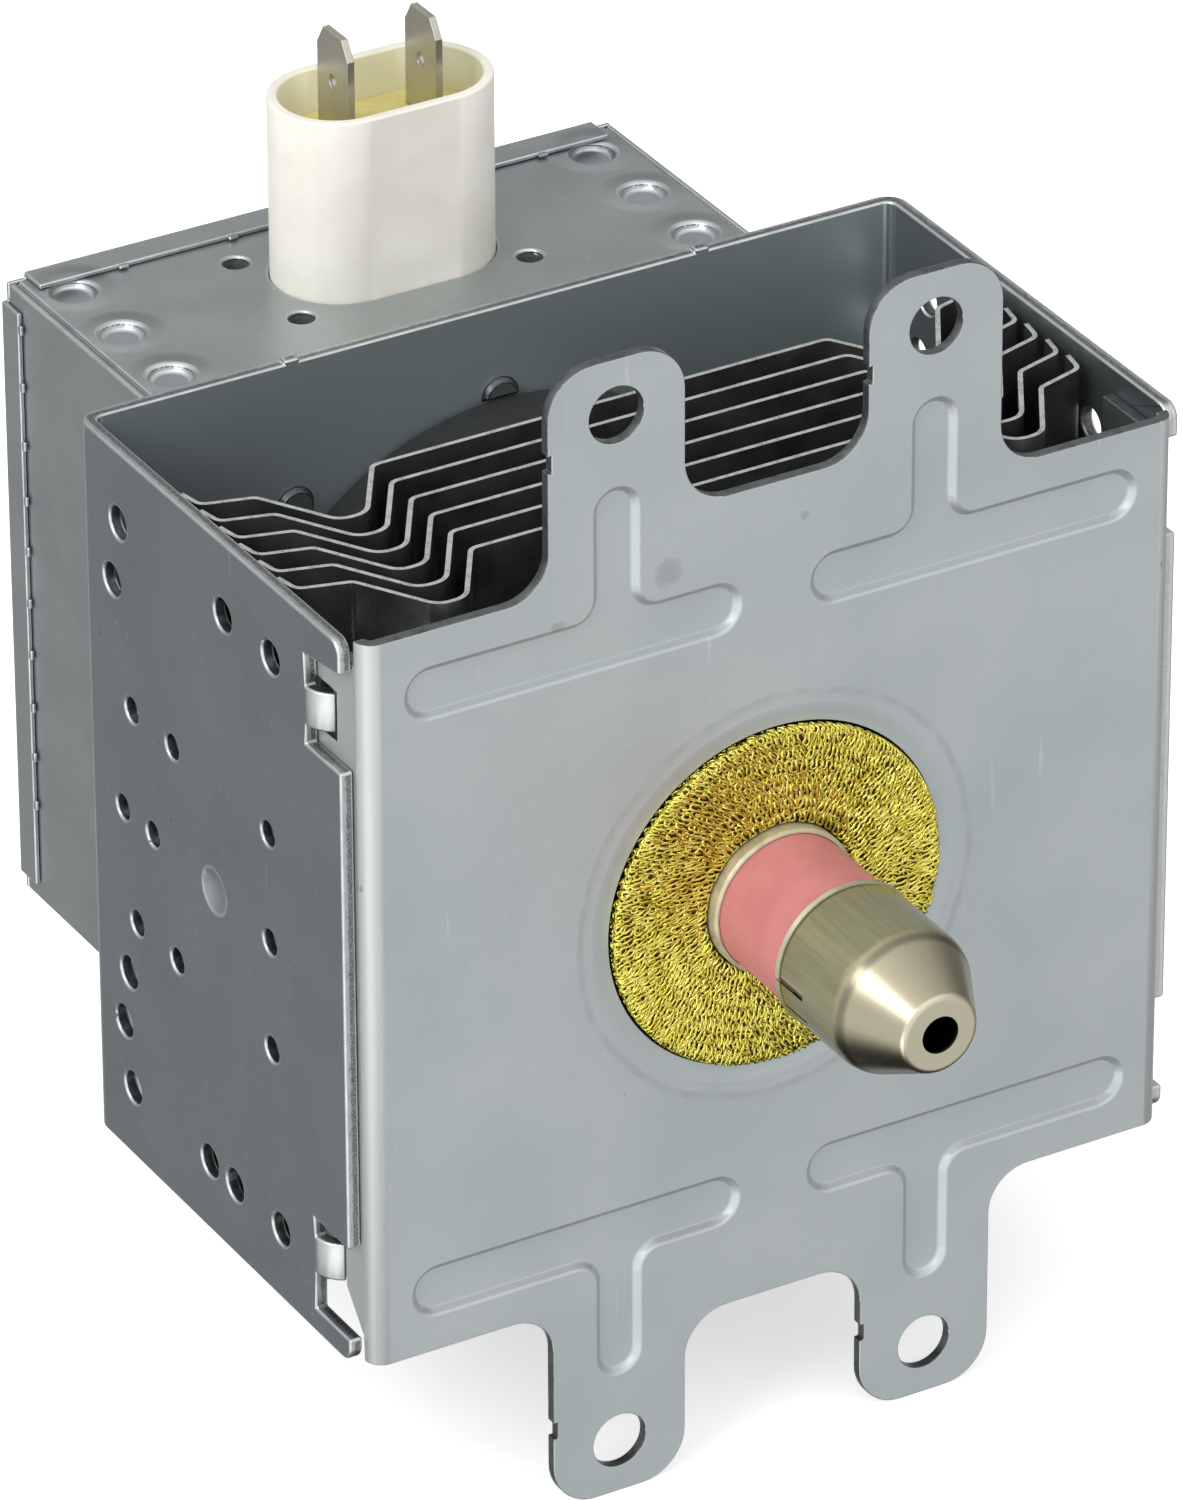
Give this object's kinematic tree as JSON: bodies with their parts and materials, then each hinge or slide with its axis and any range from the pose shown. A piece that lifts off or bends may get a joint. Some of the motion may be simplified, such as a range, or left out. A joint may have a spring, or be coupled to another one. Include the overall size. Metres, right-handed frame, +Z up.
{
  "type": "magnetron",
  "caption": "Magnetron of a microwave oven: steel yoke round a finned tube with ring magnets, eared mounting plate, antenna in a mesh gasket, and a filter box with plug tabs.",
  "frame": {"origin": "on the tube axis at the mounting face of the front plate", "axes": "+X to the right seen from the antenna side, +Y from the mounting face back to the filter box (the antenna points along -Y), +Z up towards the plug tabs"},
  "size_m": [0.0932, 0.1224, 0.1268],
  "materials": {
    "yoke_zinc": "zinc-plated sheet, matt and mottled",
    "plate_zinc": "zinc-plated sheet, satin",
    "box_zinc": "zinc-plated sheet, satin",
    "ferrite": "sintered ferrite, matt",
    "copper": "bare copper",
    "fin_aluminium": "rolled sheet",
    "iron": "plated iron",
    "cathode_metal": "refractory metal",
    "seal_metal": "plated iron alloy",
    "pink_ceramic": "pink alumina",
    "white_ceramic": "white alumina",
    "cap_metal": "drawn sheet, warm grey",
    "mesh_brass": "knitted brass wire",
    "enamelled_copper": "enamelled wire",
    "dark_resin": "moulded",
    "capacitor_ceramic": "fired",
    "yellow_resin": "cast resin",
    "ivory_plastic": "moulded, glossy",
    "tinned_brass": "tin-plated"
  },
  "bodies": {
    "root": {"yoke_frame": "yoke_zinc", "front_plate": "plate_zinc", "front_magnet": "ferrite", "rear_magnet": "ferrite", "anode_cylinder": "copper", "anode_vane_1": "copper", "anode_vane_2": "copper", "anode_vane_3": "copper", "anode_vane_4": "copper", "anode_vane_5": "copper", "anode_vane_6": "copper", "anode_vane_7": "copper", "anode_vane_8": "copper", "anode_vane_9": "copper", "anode_vane_10": "copper", "strap_front_inner": "copper", "strap_front_outer": "copper", "strap_rear_inner": "copper", "strap_rear_outer": "copper", "cooling_fin_1": "fin_aluminium", "cooling_fin_2": "fin_aluminium", "cooling_fin_3": "fin_aluminium", "cooling_fin_4": "fin_aluminium", "cooling_fin_5": "fin_aluminium", "cooling_fin_6": "fin_aluminium", "front_pole_piece": "iron", "rear_pole_piece": "iron", "cathode_filament": "cathode_metal", "cathode_front_hat": "cathode_metal", "cathode_rear_hat": "cathode_metal", "cathode_centre_lead": "cathode_metal", "cathode_side_lead": "cathode_metal", "output_seal_sleeve": "seal_metal", "output_ceramic": "pink_ceramic", "antenna_lead": "copper", "exhaust_tube": "copper", "antenna_cap": "cap_metal", "rf_gasket": "mesh_brass", "stem_seal_sleeve": "seal_metal", "stem_ceramic": "white_ceramic", "stem_terminal_left": "seal_metal", "stem_terminal_right": "seal_metal", "filter_box": "box_zinc", "filter_box_lid": "box_zinc", "choke_coil_left": "enamelled_copper", "choke_coil_right": "enamelled_copper", "choke_core_left": "ferrite", "choke_core_right": "ferrite", "ground_plate": "box_zinc", "capacitor_base": "dark_resin", "capacitor_element": "capacitor_ceramic", "capacitor_potting": "yellow_resin", "capacitor_case": "ivory_plastic", "feed_rod_left": "tinned_brass", "feed_rod_right": "tinned_brass", "terminal_tab_left": "tinned_brass", "terminal_tab_right": "tinned_brass"}
  },
  "joints": []
}
